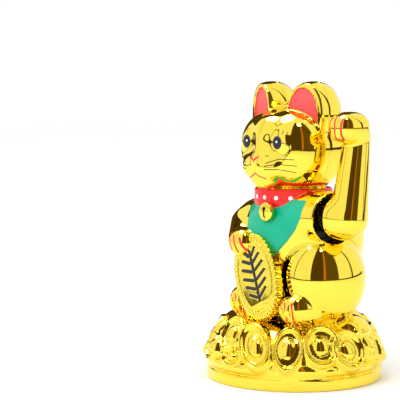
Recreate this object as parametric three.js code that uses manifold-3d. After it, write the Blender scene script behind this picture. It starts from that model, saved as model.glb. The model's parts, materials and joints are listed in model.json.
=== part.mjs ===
// Beckoning cat figurine with a swinging left arm.
// Millimetres. The cat faces -Y, its left side is +X, and the origin is the middle of the underside.
import * as THREE from 'three';
import { mergeVertices } from 'three/addons/utils/BufferGeometryUtils.js';
import Module from 'manifold-3d';

const wasm = await Module();
wasm.setup();

// Driving dimensions: base
const plinthRadius = 40;
const plinthHeight = 6;
const plinthStep = 1.4;
const moundInset = 1.5;
const moundRise = 21;
const coinRadius = 9;
const coinThickness = 3;
const coinCount = 11;

// Driving dimensions: body and head
const bodyHalfWidth = 31;
const bodyDepthRatio = 0.92;
const bodyCentreY = 5;
const bodyRise = 52;
const collarRadius = 19.5;
const collarHeight = 7.5;
const headHalfWidth = 23.7;
const headHalfDepth = 22;
const headHalfHeight = 20;
const headCentreY = -2.7;
const headSink = 2;
const earRise = 11.1;
const earSpread = 15;
const earHalfWidth = 9.6;
const earDepth = 24;
const neckRadius = 10;
const bellRadius = 4.2;
const shellWall = 2;
const facetGap = 0.4;
const seamY = -1.5;
const seamGap = 0.12;

// Driving dimensions: limbs and the coin it holds
const thighHalfWidth = 16.5;
const thighHalfDepth = 20;
const thighHalfHeight = 18;
const thighOverhang = 3;
const footHalfWidth = 8;
const footHalfLength = 12;
const footHalfHeight = 7.5;
const footSpread = 17.5;
const upperArmRadius = 9;
const forearmRadius = 6.6;
const kobanHalfWidth = 13;
const kobanHalfLength = 19.5;
const kobanThickness = 3.4;
const kobanTilt = 0.36;
const kobanLean = 0.12;

// Driving dimensions: swinging arm
const shoulderDrop = 3;
const pivotY = -3;
const armThickness = 13;
const elbowRadius = 8;
const armRise = 46;
const armLeanY = 4;
const pawHalfWidth = 7.8;
const pawHalfLength = 9.2;
const pawHalfHeight = 6.8;
const armWall = 1.3;
const armSideGap = 0.5;
const stubRadius = 7.8;
const socketGap = 2.2;
const socketForward = 2.4;
const socketDepth = 8;

// Driving dimensions: mechanism
const axleRadius = 1.5;
const bearingClearance = 0.1;
const bushWall = 1.4;
const postGap = 24;
const postThickness = 3;
const postDepth = 7.4;
const pendulumX = 1;
const pendulumLength = 43;
const leverHubRadius = 4;
const leverRodRadius = 1.6;
const bobBack = 0.6;
const magnetRadius = 4.4;
const magnetThickness = 4;
const weightRadius = 4;
const weightLength = 18;
const weightOverhang = 1.5;
const bobWall = 1.1;
const coilGap = 2;
const coilCoreRadius = 3;
const coilRadius = 4.9;
const coilHeight = 5;
const bobbinFlange = 1;
const boardThickness = 1.6;
const boardDepth = 22;
const shelfReach = 5;
const shelfThickness = 2.5;
const towerFootThickness = 3;

// Driving dimensions: cell and base plate
const cellRadius = 7.25;
const cellLength = 50.5;
const cellGap = 0.5;
const towerGap = 0.5;
const springLength = 3.4;
const contactThickness = 0.5;
const springWire = 0.35;
const contactHalfWidth = 5;
const plateInset = 4;
const plateThickness = 2;
const compartmentWall = 1.4;
const doorThickness = 1.6;
const doorRecess = 0.2;
const tabSpread = 4;
const tabHalfWidth = 1.6;
const tabReach = 2.4;
const tabThickness = 1;
const tabRoom = 5;
const latchHalfWidth = 4;
const latchReach = 1.6;
const bossRadius = 3.2;
const bossHeight = 7;
const fitGap = 0.3;
const restGap = 0.1;
const leadRadius = 0.6;
const screwRadius = 1.2;
const screwHeadRadius = 2.3;
const screwHeadHeight = 1.2;

// Heights and places worked out from the sizes above
const moundTopZ = plinthHeight + moundRise;
const neckZ = moundTopZ + bodyRise;
const collarTopZ = neckZ + collarHeight;
const headCentreZ = collarTopZ + headHalfHeight - headSink;
const headTopZ = headCentreZ + headHalfHeight;
const earTipZ = headTopZ + earRise;
const pivotZ = neckZ - shoulderDrop;
const armCentreX = bodyHalfWidth + armSideGap + elbowRadius - 1.5;
const armInnerX = armCentreX - elbowRadius;
const socketFloorX = armInnerX - socketDepth;
const bobBottomZ = pivotZ - pendulumLength;
const bobY = pivotY + bobBack;
const weightZ = bobBottomZ + magnetThickness + fitGap + bobWall + weightRadius;
const coilTopZ = bobBottomZ - coilGap;
const boardTopZ = coilTopZ - coilHeight - 2 * bobbinFlange;
const boardBottomZ = boardTopZ - boardThickness;
const boardFrontY = bobY - boardDepth / 2;
const plateRadius = plinthRadius - plateInset;
const doorTopZ = doorRecess + doorThickness;
const cellZ = doorTopZ + cellGap + cellRadius;
const compartmentHalfY = cellRadius + cellGap + fitGap;
const cellCentreY = pivotY + postDepth / 2 + towerGap + compartmentWall + compartmentHalfY;
const negativeX = -(cellLength + springLength) / 2 - contactThickness;
const positiveX = (cellLength + springLength) / 2 + contactThickness;
const compartmentHalfX = positiveX + contactThickness;
const compartmentTopZ = cellZ + cellRadius + cellGap;
const postInnerX = pendulumX - postGap / 2;
const postOuterX = pendulumX + postGap / 2;
const bushRadius = axleRadius + bearingClearance + bushWall;

// ---- helpers ----

const materials = {
  gold: new THREE.MeshStandardMaterial({ color: 0xf2c230, roughness: 0.12, metalness: 1 }),
  nylon: new THREE.MeshStandardMaterial({ color: 0xe9e6dc, roughness: 0.5, metalness: 0 }),
  plastic: new THREE.MeshStandardMaterial({ color: 0x24242a, roughness: 0.55, metalness: 0 }),
  basePlastic: new THREE.MeshStandardMaterial({ color: 0xd8a520, roughness: 0.45, metalness: 0 }),
  steel: new THREE.MeshStandardMaterial({ color: 0xb9bcc0, roughness: 0.3, metalness: 1 }),
  copper: new THREE.MeshStandardMaterial({ color: 0xb0562a, roughness: 0.35, metalness: 1 }),
  board: new THREE.MeshStandardMaterial({ color: 0x2f6a3a, roughness: 0.5, metalness: 0 }),
  cell: new THREE.MeshStandardMaterial({ color: 0x3a5f9a, roughness: 0.35, metalness: 0.3 }),
  red: new THREE.MeshStandardMaterial({ color: 0xb81f1c, roughness: 0.5, metalness: 0 }),
  black: new THREE.MeshStandardMaterial({ color: 0x151515, roughness: 0.5, metalness: 0 }),
};

function solid(geometry) {
  const bare = new THREE.BufferGeometry();
  bare.setAttribute('position', geometry.getAttribute('position'));
  bare.setIndex(geometry.getIndex());
  const merged = mergeVertices(bare, 1e-4);
  const mesh = new wasm.Mesh({
    numProp: 3,
    vertProperties: new Float32Array(merged.getAttribute('position').array),
    triVerts: new Uint32Array(merged.getIndex().array),
  });
  return new wasm.Manifold(mesh);
}

function toGeometry(body) {
  const mesh = body.getMesh();
  const geometry = new THREE.BufferGeometry();
  geometry.setAttribute('position', new THREE.BufferAttribute(mesh.vertProperties, 3));
  geometry.setIndex(new THREE.BufferAttribute(mesh.triVerts, 1));
  geometry.computeVertexNormals();
  return geometry;
}

function union(bodies) {
  return bodies.reduce((sum, body) => sum.add(body));
}

function cut(body, tools) {
  return tools.reduce((rest, tool) => rest.subtract(tool), body);
}

// A box from its low and high corners.
function block(low, high) {
  const size = high.map((value, axis) => value - low[axis]);
  const geometry = new THREE.BoxGeometry(size[0], size[1], size[2]);
  geometry.translate((low[0] + high[0]) / 2, (low[1] + high[1]) / 2, (low[2] + high[2]) / 2);
  return solid(geometry);
}

// A cylinder along Z that stands on z = bottom.
function post(radius, bottom, top, x = 0, y = 0, sides = 20) {
  const geometry = new THREE.CylinderGeometry(radius, radius, top - bottom, sides);
  geometry.rotateX(Math.PI / 2);
  geometry.translate(x, y, (bottom + top) / 2);
  return solid(geometry);
}

// A cylinder along X from x = from to x = to.
function rod(radius, from, to, y, z, sides = 24) {
  const geometry = new THREE.CylinderGeometry(radius, radius, to - from, sides);
  geometry.rotateZ(Math.PI / 2);
  geometry.translate((from + to) / 2, y, z);
  return solid(geometry);
}

// An ellipsoid with its poles on Z; a power below 1 makes it fuller towards a box.
function ellipsoid(radii, centre, around = 20, down = 14, power = 1) {
  const geometry = new THREE.SphereGeometry(1, around, down);
  geometry.rotateX(Math.PI / 2);
  const points = geometry.getAttribute('position');
  for (let i = 0; i < points.count; i += 1) {
    const even = [points.getX(i), points.getY(i), points.getZ(i)];
    points.setXYZ(i, ...even.map((value) => Math.sign(value) * Math.abs(value) ** power));
  }
  geometry.scale(radii[0], radii[1], radii[2]);
  geometry.translate(centre[0], centre[1], centre[2]);
  return solid(geometry);
}

// A turned body about Z from [radius, z] points that start and end on the axis, bottom first.
function turned(points, around = 36) {
  const profile = points.map(([radius, z]) => new THREE.Vector2(radius, z));
  const geometry = new THREE.LatheGeometry(profile, around);
  geometry.rotateX(Math.PI / 2);
  return solid(geometry);
}

// A round-ended limb between two points.
function limb(radius, from, to, sides = 14) {
  const start = new THREE.Vector3(...from);
  const end = new THREE.Vector3(...to);
  const geometry = new THREE.CapsuleGeometry(radius, start.distanceTo(end), 4, sides);
  const along = new THREE.Vector3().subVectors(end, start).normalize();
  const turn = new THREE.Quaternion().setFromUnitVectors(new THREE.Vector3(0, 1, 0), along);
  geometry.applyQuaternion(turn);
  const middle = new THREE.Vector3().addVectors(start, end).multiplyScalar(0.5);
  geometry.translate(middle.x, middle.y, middle.z);
  return solid(geometry);
}

// A limb that tapers between two points.
function taperedLimb(startRadius, start, endRadius, end, sides = 14) {
  const from = new THREE.Vector3(...start);
  const to = new THREE.Vector3(...end);
  const length = from.distanceTo(to);
  const geometry = new THREE.CylinderGeometry(endRadius, startRadius, length, sides);
  const along = new THREE.Vector3().subVectors(to, from).normalize();
  geometry.applyQuaternion(new THREE.Quaternion().setFromUnitVectors(new THREE.Vector3(0, 1, 0), along));
  geometry.translate((from.x + to.x) / 2, (from.y + to.y) / 2, (from.z + to.z) / 2);
  const ends = [[startRadius, start], [endRadius, end]].map(([radius, centre]) => (
    ellipsoid([radius, radius, radius], centre, sides, 8)
  ));
  return union([solid(geometry), ...ends]);
}

// ---- cat shells ----

function plinth() {
  const lip = 0.8;
  return turned([
    [0, 0], [plinthRadius - lip, 0], [plinthRadius, lip], [plinthRadius, plinthHeight / 2],
    [plinthRadius - plinthStep, plinthHeight / 2 + plinthStep], [plinthRadius - plinthStep, plinthHeight],
    [0, plinthHeight],
  ]);
}

// The smooth dome under the coins; inset shrinks it for the hollow.
function moundDome(inset, around) {
  const rim = plinthRadius - moundInset - inset;
  const top = moundTopZ + 4 - inset;
  const steps = 7;
  const fullness = 0.4;
  const points = [[0, plinthHeight - 1], [rim - 1, plinthHeight - 1]];
  for (let i = 0; i <= steps; i += 1) {
    const angle = (i / steps) * Math.PI / 2;
    const radius = rim * Math.cos(angle) ** fullness;
    points.push([i === steps ? 0 : radius, plinthHeight + 2 + (top - plinthHeight - 2) * Math.sin(angle)]);
  }
  return turned(points, around);
}

function coins() {
  const discs = [];
  const tilt = 0.3;
  for (let i = 0; i < coinCount; i += 1) {
    const angle = (i + 0.5) / coinCount * 2 * Math.PI - Math.PI / 2;
    const geometry = new THREE.CylinderGeometry(coinRadius, coinRadius, coinThickness, 12);
    geometry.rotateX(Math.PI / 2);
    geometry.rotateX(Math.PI / 2 - tilt);
    geometry.rotateZ(angle + Math.PI / 2);
    const reach = plinthRadius - moundInset - 1.4;
    const height = plinthHeight + coinRadius * Math.cos(tilt);
    geometry.translate(reach * Math.cos(angle), reach * Math.sin(angle), height);
    discs.push(solid(geometry));
  }
  return union(discs);
}

// The seated body without limbs; its cross-section is an ellipse.
function torso(inset, around) {
  const heights = [0, 0.12, 0.3, 0.5, 0.7, 0.82, 0.9, 0.96, 1.02, 1.06];
  const widths = [0.85, 0.87, 0.87, 0.89, 0.97, 0.98, 0.93, 0.85, 0.68, 0];
  const from = moundTopZ - 2;
  const points = [[0, from]];
  heights.forEach((share, i) => {
    const radius = Math.max(bodyHalfWidth * widths[i] - inset, 0);
    points.push([radius, from + 2 + share * bodyRise - (i > 6 ? inset : 0)]);
  });
  points[points.length - 1][0] = 0;
  const geometry = new THREE.LatheGeometry(points.map(([r, z]) => new THREE.Vector2(r, z)), around);
  geometry.rotateX(Math.PI / 2);
  geometry.scale(1, bodyDepthRatio, 1);
  leanToNeck(geometry, from);
  return solid(geometry);
}

// Slides each level of the torso from the body's centre below to the neck's centre above.
function leanToNeck(geometry, from) {
  const vertices = geometry.getAttribute('position');
  for (let i = 0; i < vertices.count; i += 1) {
    const share = Math.min(Math.max((vertices.getZ(i) - from - bodyRise * 0.5) / (bodyRise * 0.45), 0), 1);
    vertices.setY(i, vertices.getY(i) + bodyCentreY + (headCentreY / 2 - bodyCentreY) * share);
  }
}

function head(inset, around) {
  const radii = [headHalfWidth - inset, headHalfDepth - inset, headHalfHeight - inset];
  return ellipsoid(radii, [0, headCentreY, headCentreZ], around, Math.round(around * 0.6), 0.86);
}

function ears() {
  const frontY = headCentreY - earDepth / 4;
  const centreY = frontY + earDepth * 0.38;
  const sink = 6;
  return union([-1, 1].map((side) => {
    const loaf = ellipsoid(
      [earHalfWidth, earDepth * 0.62, earRise + sink],
      [side * earSpread, centreY, headTopZ - sink],
      16,
      12,
    );
    const face = block(
      [side * earSpread - 20, frontY - 30, headTopZ - 40],
      [side * earSpread + 20, frontY, earTipZ + 10],
    );
    return loaf.subtract(face);
  }));
}

function collar() {
  const bulge = 0.9;
  const sink = 1.5;
  const geometry = new THREE.LatheGeometry([
    new THREE.Vector2(0, neckZ - sink), new THREE.Vector2(collarRadius, neckZ - sink),
    new THREE.Vector2(collarRadius + bulge, neckZ + collarHeight / 2),
    new THREE.Vector2(collarRadius, collarTopZ + sink), new THREE.Vector2(0, collarTopZ + sink),
  ], 32);
  geometry.rotateX(Math.PI / 2);
  geometry.translate(0, headCentreY / 2, 0);
  return solid(geometry);
}

function face() {
  const frontY = headCentreY - headHalfDepth;
  return union([
    ellipsoid([9, 5, 6], [0, frontY + 4, headCentreZ - 7], 16, 10),
    limb(2.2, [0, frontY + 3.4, headCentreZ - 1], [0, frontY + 6, headCentreZ + 8], 10),
  ]);
}

function bell() {
  const frontY = headCentreY / 2 - collarRadius;
  return ellipsoid([bellRadius, bellRadius * 0.62, bellRadius], [0, frontY - 0.6, neckZ - 1], 14, 10);
}

function thighs(inset, around) {
  const radii = [thighHalfWidth - inset, thighHalfDepth - inset, thighHalfHeight - inset];
  const centreX = bodyHalfWidth + thighOverhang - thighHalfWidth;
  const centreZ = moundTopZ + thighHalfHeight + 1;
  return [-1, 1].map((side) => ellipsoid(radii, [side * centreX, bodyCentreY - 0.5, centreZ], around, 12));
}

function feet() {
  const radii = [footHalfWidth, footHalfLength, footHalfHeight];
  return [-1, 1].map((side) => (
    ellipsoid(radii, [side * footSpread, bodyCentreY - 17, moundTopZ + footHalfHeight], 16, 10)
  ));
}

function restingArm() {
  const shoulder = [-bodyHalfWidth + 8, bodyCentreY - 9, neckZ - 11];
  const elbow = [-bodyHalfWidth + 5, bodyCentreY - 15, neckZ - 18];
  const paw = [-14.5, bodyCentreY - 27, neckZ - 18.5];
  return [limb(upperArmRadius, shoulder, elbow), limb(forearmRadius, elbow, paw)];
}

function koban() {
  const outline = new THREE.Shape();
  outline.absellipse(0, 0, kobanHalfWidth, kobanHalfLength, 0, 2 * Math.PI, false, 0);
  const options = { depth: kobanThickness, bevelEnabled: false, curveSegments: 12 };
  const geometry = new THREE.ExtrudeGeometry(outline, options);
  geometry.rotateX(Math.PI / 2);
  geometry.rotateX(-kobanLean);
  geometry.rotateY(kobanTilt);
  geometry.translate(-1.5, bodyCentreY - 26.4, moundTopZ + 23.5);
  return solid(geometry);
}

// The cup in the cat's left side in which the arm's stub turns.
function socketRod(radius, from, to) {
  const forward = rod(radius, from, to, pivotY - socketForward, pivotZ);
  return union([rod(radius, from, to, pivotY, pivotZ), forward]);
}

// The shoulder that stands out round the socket.
function leftShoulder() {
  const radius = stubRadius + socketGap + shellWall;
  const edge = armInnerX - 1.2;
  const centre = [edge - radius * 0.9, pivotY - socketForward / 2, pivotZ - 1];
  return union([
    ellipsoid([radius * 1.15, radius + socketForward, radius + 1.5], centre, 18, 12),
    socketRod(radius, edge - radius, edge),
  ]).intersect(block([0, -100, 0], [edge, 100, 200]));
}

function screwBosses() {
  const bottom = plateThickness + fitGap;
  return plateScrewPlaces().map(([x, y]) => {
    const reach = Math.hypot(x, y);
    const length = plinthRadius - shellWall / 2 - reach;
    const geometry = new THREE.BoxGeometry(length, 2 * bossRadius * 0.6, bossHeight);
    geometry.translate(reach + length / 2, 0, bottom + bossHeight / 2);
    geometry.rotateZ(Math.atan2(y, x));
    return post(bossRadius, bottom, bottom + bossHeight, x, y, 16).add(solid(geometry));
  });
}

function plateScrewPlaces() {
  const radius = plateRadius - 4.4;
  const angles = [-145, -35, 90];
  return angles.map((angle) => {
    const turn = angle * Math.PI / 180;
    return [radius * Math.cos(turn), radius * Math.sin(turn)];
  });
}

function catBody() {
  const outside = union([
    plinth(), moundDome(0, 36), coins(), torso(0, 32), collar(), head(0, 24), ears(), face(), bell(),
    ...thighs(0, 18), ...feet(), ...restingArm(), koban(), leftShoulder(),
  ]);
  const hollow = union([
    post(plateRadius + fitGap, -1, plinthHeight + 1, 0, 0, 32),
    moundDome(shellWall, 24),
    torso(shellWall + facetGap, 20),
    ...thighs(shellWall + facetGap, 14),
    post(collarRadius - shellWall, neckZ - 8, collarTopZ - shellWall, 0, headCentreY / 2, 24),
    post(neckRadius, neckZ, headCentreZ, 0, headCentreY, 16),
    head(shellWall, 16),
  ]);
  const reach = bodyHalfWidth + 12;
  const cup = socketRod(stubRadius + socketGap + shellWall, socketFloorX - shellWall, reach);
  const bosses = union(screwBosses());
  const pilots = plateScrewPlaces().map(([x, y]) => post(screwRadius + fitGap / 2, 0, 8, x, y, 12));
  const shell = outside.subtract(hollow).add(cup.intersect(outside)).add(bosses);
  return cut(shell, [
    socketRod(stubRadius + socketGap, socketFloorX, reach),
    rod(bushRadius + socketGap, 0, reach, pivotY, pivotZ),
    ...pilots,
  ]);
}

function half(body, front) {
  const far = 200;
  const keep = front
    ? block([-far, -far, -far], [far, seamY - seamGap / 2, far])
    : block([-far, seamY + seamGap / 2, -far], [far, far, far]);
  return body.intersect(keep);
}

// ---- swinging arm ----

function armForm(inset) {
  const thick = armThickness / 2 - inset;
  const topZ = pivotZ + armRise;
  const columnY = pivotY + armLeanY;
  const elbow = elbowRadius - inset;
  const bottom = [armCentreX, pivotY - 0.5, pivotZ];
  const column = taperedLimb(elbow, bottom, thick, [armCentreX, columnY, topZ - 9]);
  const pawRadii = [pawHalfWidth - inset, pawHalfLength - inset, pawHalfHeight - inset];
  const paw = ellipsoid(pawRadii, [armCentreX, columnY - 5, topZ - pawHalfHeight], 14, 10);
  return union([column, paw]);
}

function armHalves() {
  const stub = rod(stubRadius, socketFloorX + 1.5, armInnerX + 3, pivotY, pivotZ, 28);
  const hub = rod(bushRadius + 1, socketFloorX + 1.5, armCentreX - 1, pivotY, pivotZ, 20);
  const bore = rod(axleRadius + bearingClearance, 0, armCentreX - 1.6, pivotY, pivotZ, 20);
  const shell = armForm(0).add(stub).subtract(armForm(armWall).intersect(armRoom()));
  const whole = shell.add(hub).subtract(bore);
  const far = 200;
  const gap = seamGap / 2;
  return {
    outer: whole.intersect(block([armCentreX + gap, -far, -far], [far, far, far])),
    inner: whole.intersect(block([-far, -far, -far], [armCentreX - gap, far, far])),
  };
}

// Limits the arm's hollow to the arm itself, so the stub stays solid.
function armRoom() {
  const far = 200;
  return block([armInnerX + armWall, -far, -far], [far, far, far]);
}

function axle() {
  return rod(axleRadius, postInnerX - postThickness / 2 - 3, armCentreX - 2, pivotY, pivotZ, 20);
}

function axleClip() {
  const width = 0.8;
  const end = postInnerX - postThickness / 2 - 2.4;
  const ring = rod(axleRadius + 1.6, end, end + width, pivotY, pivotZ, 18);
  return ring.subtract(rod(axleRadius + bearingClearance, end - 1, end + 2, pivotY, pivotZ, 18));
}

function pendulumLever() {
  const hubHalf = 4;
  const cupRadius = magnetRadius + fitGap / 2 + bobWall;
  const sleeveRadius = weightRadius + fitGap / 2 + bobWall;
  const sleeveHalf = weightLength / 2 - weightOverhang;
  const hub = rod(leverHubRadius, pendulumX - hubHalf, pendulumX + hubHalf, pivotY, pivotZ, 20);
  const stemTop = [pendulumX, pivotY, pivotZ - leverHubRadius];
  const stem = limb(leverRodRadius, stemTop, [pendulumX, bobY, weightZ + weightRadius + bobWall], 8);
  const sleeve = rod(sleeveRadius, pendulumX - sleeveHalf, pendulumX + sleeveHalf, bobY, weightZ, 24);
  const cup = post(cupRadius, bobBottomZ, weightZ, pendulumX, bobY, 24);
  const pocketTop = bobBottomZ + magnetThickness + fitGap;
  return cut(union([hub, stem, sleeve, cup]), [
    post(magnetRadius + fitGap / 2, bobBottomZ - 1, pocketTop, pendulumX, bobY, 24),
    rod(weightRadius + fitGap / 2, pendulumX - weightLength, pendulumX + weightLength, bobY, weightZ, 24),
    rod(axleRadius + bearingClearance, pendulumX - 2 * hubHalf, pendulumX + 2 * hubHalf, pivotY, pivotZ, 20),
  ]);
}

function pendulumMagnet() {
  const bottom = bobBottomZ + restGap;
  return post(magnetRadius, bottom, bottom + magnetThickness, pendulumX, bobY, 24);
}

function counterweight() {
  return rod(weightRadius, pendulumX - weightLength / 2, pendulumX + weightLength / 2, bobY, weightZ, 24);
}

// ---- fixed mechanism ----

function pivotTower() {
  const footBottom = plateThickness + fitGap;
  const footTop = footBottom + towerFootThickness;
  const frontY = pivotY - postDepth / 2;
  const backY = pivotY + postDepth / 2;
  const left = postInnerX - postThickness / 2;
  const right = postOuterX + postThickness / 2;
  const pieces = [block([left - 3, frontY - 6, footBottom], [right + 3, backY, footTop])];
  for (const x of [postInnerX, postOuterX]) {
    const low = x - postThickness / 2;
    const high = x + postThickness / 2;
    pieces.push(block([low, frontY, footBottom], [high, backY, pivotZ]));
    pieces.push(rod(postDepth / 2, low, high, pivotY, pivotZ, 24));
  }
  const shelfTop = boardBottomZ - fitGap;
  const shelfBottom = shelfTop - shelfThickness;
  const shelfDepth = postThickness + shelfReach;
  pieces.push(block([left, frontY, shelfBottom], [left + shelfDepth, backY, shelfTop]));
  pieces.push(block([right - shelfDepth, frontY, shelfBottom], [right, backY, shelfTop]));
  const holes = [rod(bushRadius + restGap / 2, left - 1, right + 1, pivotY, pivotZ, 24)];
  for (const [x, y] of towerScrewPlaces()) {
    holes.push(post(screwRadius + fitGap / 2, footBottom - 1, footTop - 0.6, x, y, 12));
  }
  for (const [x, y] of boardScrewPlaces()) {
    holes.push(post(screwRadius + fitGap / 2, shelfBottom - 1, shelfTop + 1, x, y, 12));
  }
  return cut(union(pieces), holes);
}

function towerScrewPlaces() {
  const y = pivotY - postDepth / 2 - 3;
  return [[pendulumX - 8, y], [pendulumX + 8, y]];
}

function boardScrewPlaces() {
  const inset = postThickness / 2 + 2.6;
  return [[postInnerX + inset, pivotY + 2], [postOuterX - inset, pivotY + 2]];
}

// A pan-head screw along Z; up is +1 when the head is below and the shank points up.
function screw(x, y, headZ, length, up) {
  const headEnd = headZ + up * screwHeadHeight;
  const tip = headEnd + up * length;
  const head = post(screwHeadRadius, Math.min(headZ, headEnd), Math.max(headZ, headEnd), x, y, 14);
  const shank = post(screwRadius, Math.min(headZ, tip), Math.max(headZ, tip), x, y, 10);
  return head.add(shank);
}

function bush(x) {
  const halfLength = postThickness / 2;
  const ring = rod(bushRadius, x - halfLength, x + halfLength, pivotY, pivotZ, 24);
  return ring.subtract(rod(axleRadius + bearingClearance, x - 5, x + 5, pivotY, pivotZ, 20));
}

function circuitBoard() {
  const margin = 0.4;
  const low = postInnerX + postThickness / 2 + margin;
  const high = postOuterX - postThickness / 2 - margin;
  const plate = block([low, boardFrontY, boardBottomZ], [high, boardFrontY + boardDepth, boardTopZ]);
  const holes = boardScrewPlaces().map(([x, y]) => (
    post(screwRadius + fitGap, boardBottomZ - 1, boardTopZ + 1, x, y, 12)
  ));
  return cut(plate, holes);
}

function coilBobbin() {
  const bottom = boardTopZ + restGap;
  const upper = bottom + bobbinFlange + coilHeight;
  const flange = coilRadius + 0.6;
  return union([
    post(flange, bottom, bottom + bobbinFlange, pendulumX, bobY, 24),
    post(coilCoreRadius, bottom, upper + bobbinFlange - restGap, pendulumX, bobY, 16),
    post(flange, upper, upper + bobbinFlange - restGap, pendulumX, bobY, 24),
  ]);
}

function driveCoil() {
  const bottom = boardTopZ + bobbinFlange + 2 * restGap;
  const ring = post(coilRadius, bottom, bottom + coilHeight - 2 * restGap, pendulumX, bobY, 24);
  return ring.subtract(post(coilCoreRadius + 2 * restGap, bottom - 1, coilTopZ, pendulumX, bobY, 16));
}

function transistor() {
  const halfWidth = 2.2;
  const halfDepth = 1.6;
  const height = 4.5;
  const x = postInnerX + 5;
  const y = boardFrontY + 2.6;
  const bottom = boardTopZ + restGap;
  return block([x - halfWidth, y - halfDepth, bottom], [x + halfWidth, y + halfDepth, bottom + height]);
}

function capacitor() {
  const radius = 2.2;
  const height = 5;
  const bottom = boardTopZ + restGap;
  return post(radius, bottom, bottom + height, postOuterX - 5, boardFrontY + 3, 16);
}

function basePlate() {
  const top = compartmentTopZ;
  const wall = compartmentWall;
  const roomX = compartmentHalfX;
  const roomY = compartmentHalfY;
  const low = [-roomX, cellCentreY - roomY];
  const high = [roomX, cellCentreY + roomY];
  const disc = post(plateRadius, 0, plateThickness, 0, 0, 32);
  const shellRoom = moundDome(shellWall + fitGap * 2, 24).add(post(plateRadius, 0, plinthHeight, 0, 0, 32));
  const outside = block([low[0] - wall, low[1] - wall, 0], [high[0] + wall, high[1] + wall, top]);
  const box = outside.intersect(shellRoom);
  const room = block([low[0], low[1], -1], [high[0], high[1], top + 1]);
  const latch = latchBox(fitGap);
  const tools = [room, latch, ...tabSlots()];
  for (const [x, y] of [...plateScrewPlaces(), ...towerScrewPlaces()]) {
    tools.push(post(screwRadius + fitGap, -1, plateThickness + 1, x, y, 12));
    tools.push(post(screwHeadRadius + fitGap, -1, screwHeadHeight + 0.2, x, y, 16));
  }
  return cut(disc.add(box), tools);
}

// The two tabs on the door's inner end, and the slots in the plate that they pass through.
function hingeTabs() {
  const bottom = plateThickness + fitGap;
  return [-tabSpread, tabSpread].map((offset) => {
    const y = cellCentreY + offset;
    return block(
      [-compartmentHalfX - tabReach, y - tabHalfWidth, bottom],
      [-compartmentHalfX + 2, y + tabHalfWidth, bottom + tabThickness],
    );
  });
}

function tabSlots() {
  const halfWidth = tabHalfWidth + fitGap;
  return [-tabSpread, tabSpread].map((offset) => {
    const y = cellCentreY + offset;
    return block(
      [-compartmentHalfX - tabReach - 2 * fitGap, y - halfWidth, plateThickness],
      [-compartmentHalfX + 2 + fitGap, y + halfWidth, plateThickness + fitGap + tabRoom],
    );
  });
}

// The tongue at the door's other end; grow widens it for the recess that it snaps into.
function latchBox(grow) {
  const halfWidth = latchHalfWidth + grow;
  const reach = compartmentWall + latchReach + grow;
  return block(
    [compartmentHalfX - 3, cellCentreY - halfWidth, grow ? -1 : doorRecess],
    [compartmentHalfX + reach, cellCentreY + halfWidth, doorTopZ + grow],
  );
}

function batteryDoor() {
  const gap = fitGap + 0.1;
  const panel = block(
    [-compartmentHalfX + gap, cellCentreY - compartmentHalfY + gap, doorRecess],
    [compartmentHalfX - gap, cellCentreY + compartmentHalfY - gap, doorTopZ],
  );
  const roots = [-tabSpread, tabSpread].map((offset) => block(
    [-compartmentHalfX + gap, cellCentreY + offset - tabHalfWidth, doorTopZ - 0.4],
    [-compartmentHalfX + 2, cellCentreY + offset + tabHalfWidth, plateThickness + fitGap + tabThickness],
  ));
  return union([panel, latchBox(0), ...roots, ...hingeTabs()]);
}

function batteryCell() {
  const buttonRadius = 2.7;
  const buttonLength = 1.4;
  const edge = 0.5;
  const bodyLength = cellLength - buttonLength;
  const geometry = new THREE.LatheGeometry([
    new THREE.Vector2(0, 0), new THREE.Vector2(cellRadius - edge, 0), new THREE.Vector2(cellRadius, edge),
    new THREE.Vector2(cellRadius, bodyLength - edge), new THREE.Vector2(cellRadius - edge, bodyLength),
    new THREE.Vector2(buttonRadius, bodyLength), new THREE.Vector2(buttonRadius, cellLength),
    new THREE.Vector2(0, cellLength),
  ], 28);
  geometry.rotateZ(-Math.PI / 2);
  geometry.translate(positiveX - contactThickness - fitGap - cellLength, cellCentreY, cellZ);
  return solid(geometry);
}

function contactPlate(x, isPositive) {
  const low = cellZ - 3;
  const tabTop = compartmentTopZ + 2;
  const plate = block(
    [x, cellCentreY - contactHalfWidth, low],
    [x + contactThickness, cellCentreY + contactHalfWidth, cellZ + 6],
  );
  const y = cellCentreY - (isPositive ? 2 : -2);
  const tab = block([x, y - 1.2, cellZ], [x + contactThickness, y + 1.2, tabTop]);
  return plate.add(tab);
}

class ConeCoil extends THREE.Curve {
  constructor(start, length, wide, narrow, turns) {
    super();
    Object.assign(this, { start, length, wide, narrow, turns });
  }

  getPoint(t, target = new THREE.Vector3()) {
    const angle = t * this.turns * 2 * Math.PI;
    const radius = this.wide + (this.narrow - this.wide) * t;
    const y = this.start.y + radius * Math.cos(angle);
    const z = this.start.z + radius * Math.sin(angle);
    return target.set(this.start.x + this.length * t, y, z);
  }
}

// A round bar swept along a curve.
function sweep(curve, radius, steps, sides) {
  const ring = new THREE.Shape();
  ring.absarc(0, 0, radius, 0, 2 * Math.PI, false);
  const section = new THREE.Shape(ring.getPoints(sides / 2).slice(0, -1));
  const options = { steps, extrudePath: curve, bevelEnabled: false, curveSegments: sides };
  return solid(new THREE.ExtrudeGeometry(section, options));
}

function batterySpring() {
  const endGap = springWire + fitGap / 2;
  const from = negativeX + contactThickness + endGap;
  const reach = positiveX - contactThickness - fitGap - cellLength - endGap - from;
  const curve = new ConeCoil(new THREE.Vector3(from, cellCentreY, cellZ), reach, 4.2, 2.2, 3);
  return sweep(curve, springWire, 33, 6);
}

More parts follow.
